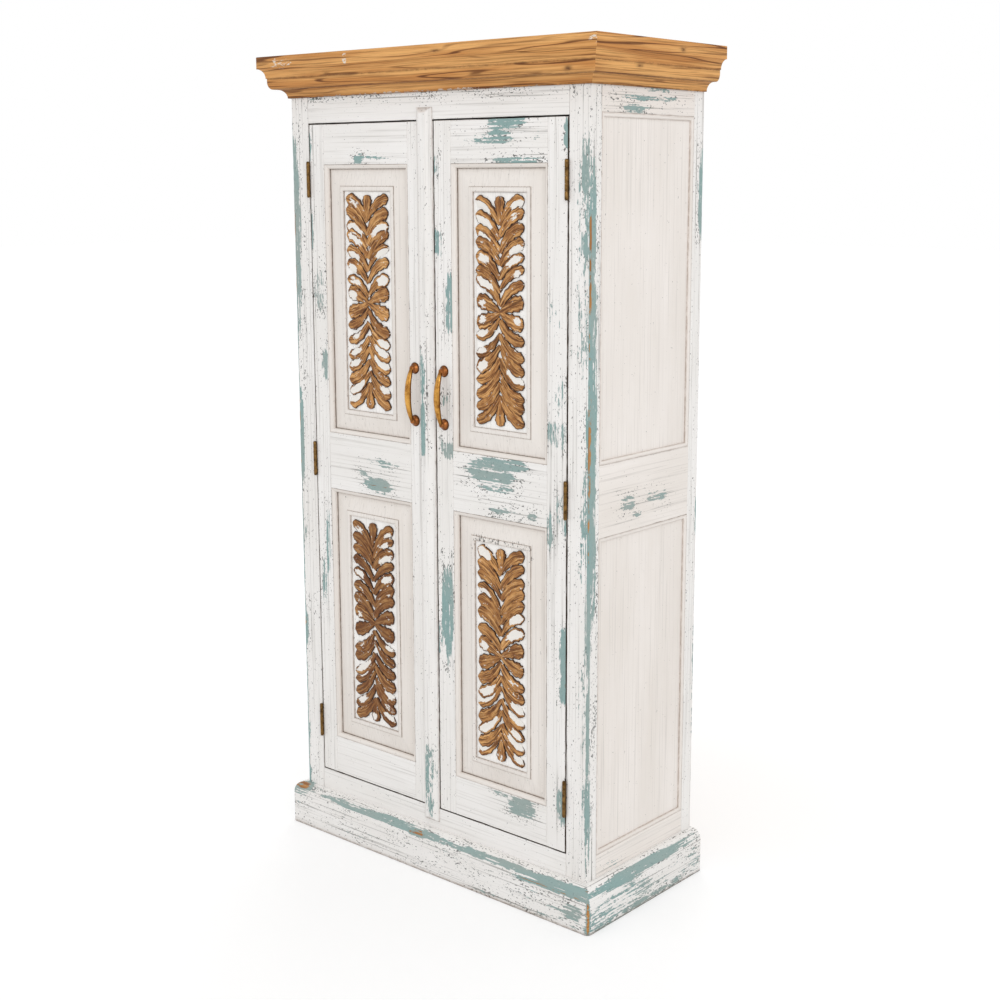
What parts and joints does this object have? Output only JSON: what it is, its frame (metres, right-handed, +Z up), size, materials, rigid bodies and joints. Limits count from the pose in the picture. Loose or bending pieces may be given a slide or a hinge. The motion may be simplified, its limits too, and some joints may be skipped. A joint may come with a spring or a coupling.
{
  "type": "cabinet",
  "caption": "Tall floor-standing cabinet with hinged carved-panel doors, inner shelves, a natural wood cornice and a moulded plinth, in worn white paint.",
  "frame": {"origin": "on the floor, under the middle of the cabinet's outline", "axes": "+Z up, -Y out of the doors, +X to the right of someone facing the doors"},
  "size_m": [0.96, 0.431, 1.8],
  "materials": {
    "white_paint": "worn matt white paint over teal and bare wood",
    "side_paint": "worn matt warm white paint",
    "cornice_wood": "natural oiled wood with dark grain",
    "carving_wood": "carved wood with rests of white paint",
    "inside_wood": "plain raw wood",
    "handle_brass": "antique brass",
    "hinge_brass": "aged brass",
    "plate_steel": "zinc plated",
    "catch_plastic": "brown moulded"
  },
  "bodies": {
    "carcass": {"back_boards": "inside_wood", "back_bottom_rail": "inside_wood", "back_top_rail": "inside_wood", "bottom_board": "inside_wood", "cornice_front": "cornice_wood", "cornice_left": "cornice_wood", "cornice_right": "cornice_wood", "door_catches": "catch_plastic", "face_bottom_rail": "white_paint", "face_top_rail": "white_paint", "front_post_left": "white_paint", "front_post_right": "white_paint", "hinge_frame_leaves": "hinge_brass", "hinge_frame_screws": "hinge_brass", "hinge_pins": "hinge_brass", "left_side_beads": "side_paint", "left_side_bottom_rail": "white_paint", "left_side_middle_rail": "white_paint", "left_side_panels": "side_paint", "left_side_top_rail": "white_paint", "lower_shelf": "inside_wood", "middle_shelf": "inside_wood", "plinth_front": "white_paint", "plinth_left": "white_paint", "plinth_right": "white_paint", "rear_post_left": "white_paint", "rear_post_right": "white_paint", "right_side_beads": "side_paint", "right_side_bottom_rail": "white_paint", "right_side_middle_rail": "white_paint", "right_side_panels": "side_paint", "right_side_top_rail": "white_paint", "shelf_cleats": "inside_wood", "top_board": "inside_wood", "upper_shelf": "inside_wood"},
    "left_door": {"left_door_bottom_rail": "white_paint", "left_door_carvings": "carving_wood", "left_door_catch_plate": "plate_steel", "left_door_cover_strip": "white_paint", "left_door_handle": "handle_brass", "left_door_hinge_leaves": "hinge_brass", "left_door_hinge_screws": "hinge_brass", "left_door_hinge_stile": "white_paint", "left_door_meeting_stile": "white_paint", "left_door_middle_rail": "white_paint", "left_door_mouldings": "white_paint", "left_door_panels": "white_paint", "left_door_top_rail": "white_paint"},
    "right_door": {"right_door_bottom_rail": "white_paint", "right_door_carvings": "carving_wood", "right_door_catch_plate": "plate_steel", "right_door_handle": "handle_brass", "right_door_hinge_leaves": "hinge_brass", "right_door_hinge_screws": "hinge_brass", "right_door_hinge_stile": "white_paint", "right_door_meeting_stile": "white_paint", "right_door_middle_rail": "white_paint", "right_door_mouldings": "white_paint", "right_door_panels": "white_paint", "right_door_top_rail": "white_paint"}
  },
  "joints": [
    {"name": "left_door_hinge", "type": "hinge", "parent": "carcass", "child": "left_door", "pos_m": [-0.3709, -0.1675, 0.9], "axis": [0, 0, -1], "range_deg": [0, 170]},
    {"name": "right_door_hinge", "type": "hinge", "parent": "carcass", "child": "right_door", "pos_m": [0.3709, -0.1675, 0.9], "axis": [0, 0, 1], "range_deg": [0, 170]}
  ]
}
